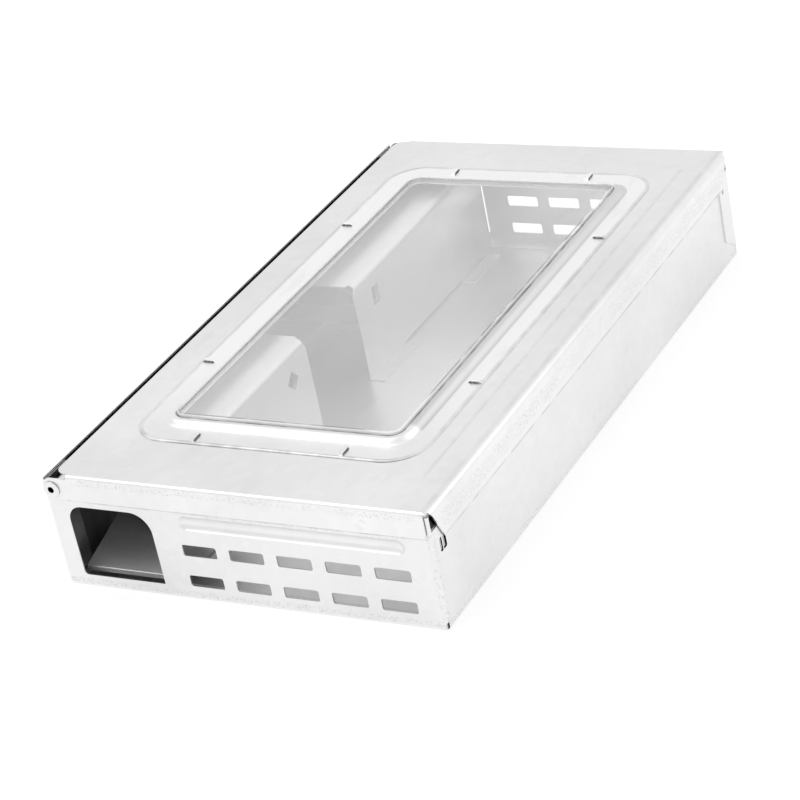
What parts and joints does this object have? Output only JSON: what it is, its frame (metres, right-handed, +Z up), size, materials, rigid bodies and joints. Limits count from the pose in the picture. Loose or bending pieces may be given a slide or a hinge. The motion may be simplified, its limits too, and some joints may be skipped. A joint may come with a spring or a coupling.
{
  "type": "live catch trap",
  "caption": "Flat multi-catch live mouse trap: folded steel box, riveted hinged lid with a clear window, and an entrance tunnel with a seesaw ramp at each end.",
  "frame": {"origin": "on the ground under the middle of the trap", "axes": "+Z up, +Y along the length towards the rear entrance, -X towards the hinge side"},
  "size_m": [0.149, 0.2672, 0.0478],
  "materials": {
    "galvanised_steel": "bright galvanised sheet",
    "rivet_steel": "zinc plated, hollow rivet",
    "ramp_aluminium": "mill finish sheet",
    "wire_steel": "drawn wire and rod",
    "clear_plastic": "clear, colourless"
  },
  "bodies": {
    "box": {"body_channel": "galvanised_steel", "front_panel": "galvanised_steel", "rear_panel": "galvanised_steel", "front_hinge_rivet": "rivet_steel", "rear_hinge_rivet": "rivet_steel", "front_tunnel_cover": "galvanised_steel", "rear_tunnel_cover": "galvanised_steel"},
    "lid": {"lid": "galvanised_steel", "window_pane": "clear_plastic", "window_retainer": "galvanised_steel"},
    "front_ramp": {"front_ramp": "ramp_aluminium", "front_axle": "wire_steel", "front_counterweight": "wire_steel"},
    "rear_ramp": {"rear_ramp": "ramp_aluminium", "rear_axle": "wire_steel", "rear_counterweight": "wire_steel"}
  },
  "joints": [
    {"name": "lid_hinge", "type": "hinge", "parent": "box", "child": "lid", "pos_m": [-0.0709, 0, 0.0389], "axis": [0, -1, 0], "range_deg": [0, 105]},
    {"name": "front_ramp_tip", "type": "hinge", "parent": "box", "child": "front_ramp", "pos_m": [-0.0512, -0.036, 0.0271], "axis": [-1, 0, 0], "range_deg": [0, 19]},
    {"name": "rear_ramp_tip", "type": "hinge", "parent": "box", "child": "rear_ramp", "pos_m": [-0.0512, 0.0304, 0.0271], "axis": [1, 0, 0], "range_deg": [0, 18]}
  ]
}
